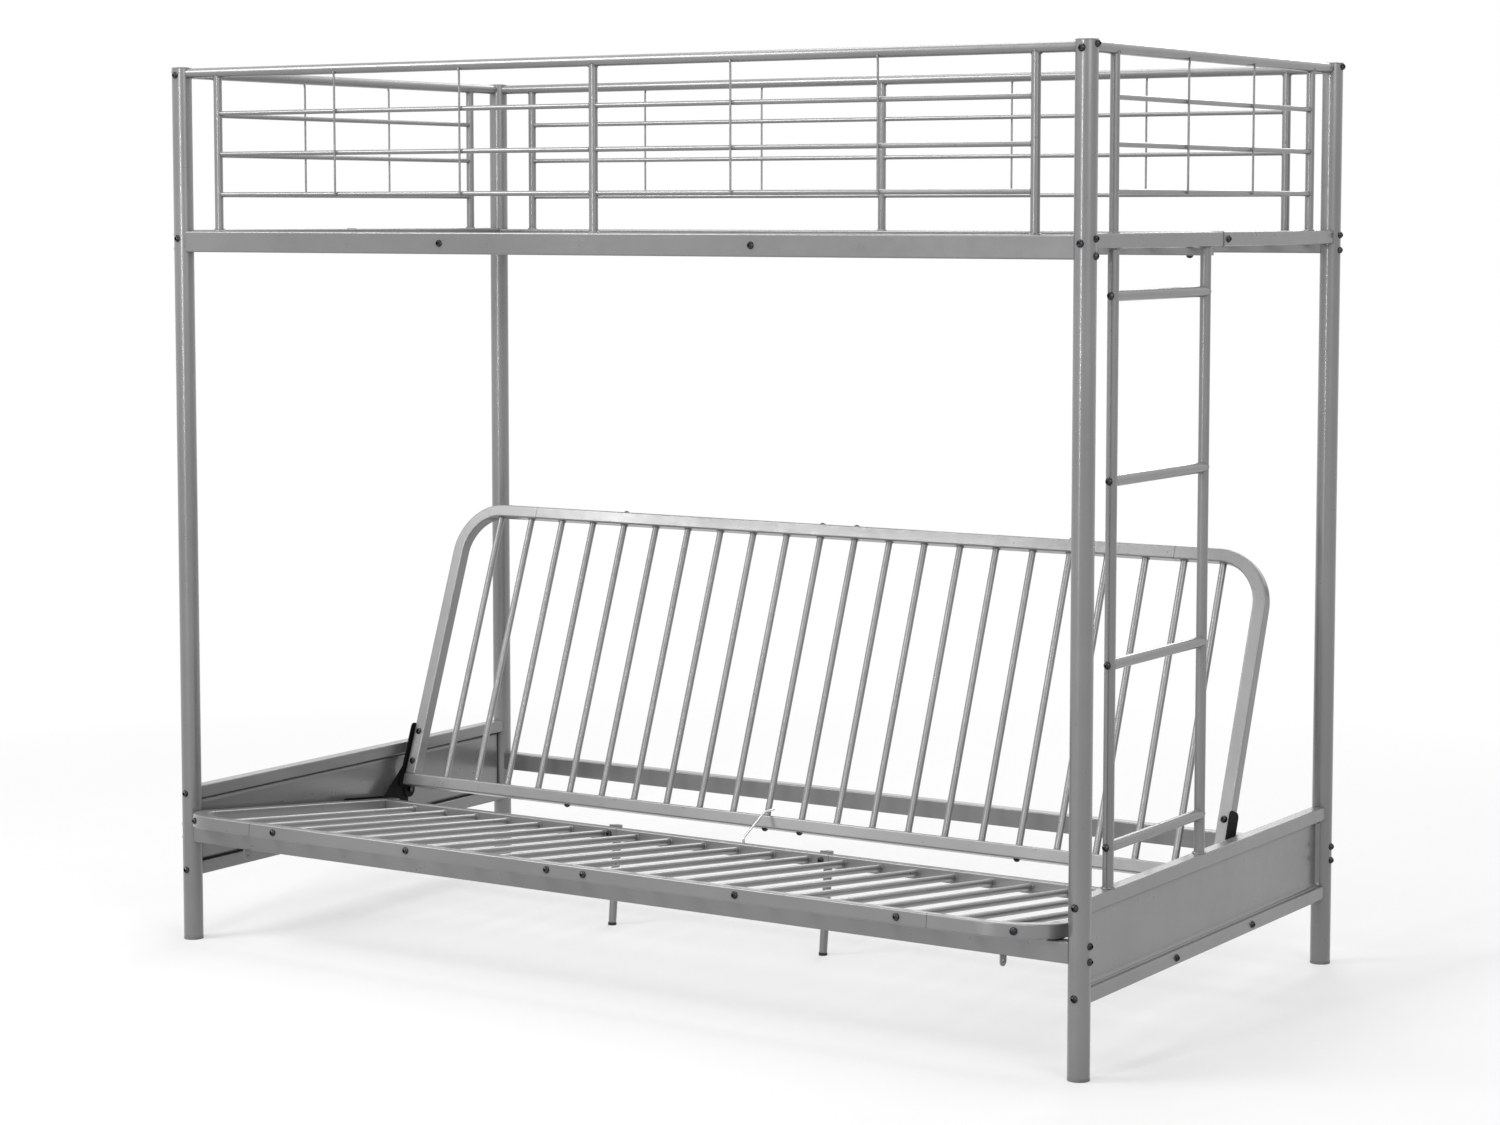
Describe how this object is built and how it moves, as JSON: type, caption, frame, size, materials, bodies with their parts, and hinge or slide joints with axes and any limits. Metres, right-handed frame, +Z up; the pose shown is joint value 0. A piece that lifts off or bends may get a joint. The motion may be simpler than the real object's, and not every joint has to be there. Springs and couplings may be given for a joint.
{
  "type": "loft bed with sofa",
  "caption": "A silver-grey metal loft bed with a slatted deck, guards all round and a ladder at one end, over a slatted sofa whose seat slides forward as its back folds flat.",
  "frame": {"origin": "On the floor under the middle of the whole bed's box, with the seat where it stands as a sofa.", "axes": "+X along the bed towards the ladder end, +Y from the sitting side to the back, +Z up."},
  "size_m": [1.991, 1.1292, 1.7],
  "materials": {
    "powder_coat": "silver-grey powder coat, satin",
    "zinc_fasteners": "zinc-plated socket bolts",
    "black_plate": "black painted steel plate",
    "black_plastic": "black moulded plastic",
    "grey_plastic": "grey moulded plastic",
    "steel_wire": "bright steel wire"
  },
  "bodies": {
    "frame": {"post_front_left": "powder_coat", "post_front_right": "powder_coat", "post_back_left": "powder_coat", "post_back_right": "powder_coat", "post_caps": "grey_plastic", "post_feet": "grey_plastic", "post_bolts": "zinc_fasteners", "upper_front_rail": "powder_coat", "upper_back_rail": "powder_coat", "upper_left_end_rails": "powder_coat", "upper_right_end_rails": "powder_coat", "end_rail_joiners": "powder_coat", "deck_bolts": "zinc_fasteners", "deck_centre_rail": "powder_coat", "deck_bearers": "powder_coat", "deck_slats": "powder_coat", "front_guard_rail": "powder_coat", "back_guard_rail": "powder_coat", "left_guard_rail": "powder_coat", "right_guard_rail": "powder_coat", "front_guard_uprights": "powder_coat", "back_guard_uprights": "powder_coat", "left_guard_uprights": "powder_coat", "right_guard_uprights": "powder_coat", "front_guard_bars": "powder_coat", "back_guard_bars": "powder_coat", "left_guard_bars": "powder_coat", "right_guard_bars": "powder_coat", "guard_wires": "powder_coat", "left_panel_rails": "powder_coat", "right_panel_rails": "powder_coat", "left_panel_sheet": "powder_coat", "right_panel_sheet": "powder_coat", "panel_and_ladder_bolts": "zinc_fasteners", "ladder_stiles": "powder_coat", "ladder_rungs": "powder_coat", "lower_front_rail": "powder_coat", "lower_back_rail": "powder_coat", "rail_tabs": "powder_coat"},
    "seat": {"seat_front_rail": "powder_coat", "seat_left_rail": "powder_coat", "seat_right_rail": "powder_coat", "seat_rear_rail": "powder_coat", "seat_sleeves": "powder_coat", "seat_slats": "powder_coat", "seat_bolts": "zinc_fasteners", "seat_end_plugs": "black_plastic", "seat_legs": "powder_coat", "leg_glides": "black_plastic", "seat_hinge_plates": "black_plate", "wire_link": "steel_wire"},
    "back": {"back_bottom_rail": "powder_coat", "back_top_rail": "powder_coat", "back_left_rail": "powder_coat", "back_right_rail": "powder_coat", "back_sleeves": "powder_coat", "back_bars": "powder_coat", "back_bolts": "zinc_fasteners", "back_hinge_plates": "black_plate", "hinge_pins": "zinc_fasteners"}
  },
  "joints": [
    {"name": "seat_slide", "type": "slide", "parent": "frame", "child": "seat", "axis": [0, -0.9942, 0.108], "range_m": [0, 0.25]},
    {"name": "back_recline", "type": "hinge", "parent": "seat", "child": "back", "pos_m": [0, 0.1761, 0.20322], "axis": [-1, 0, 0], "range_deg": [0, 69.7]}
  ],
  "couplings": [
    {"joint": "back_recline", "follows": "seat_slide", "rad_per_m": 4.865}
  ]
}
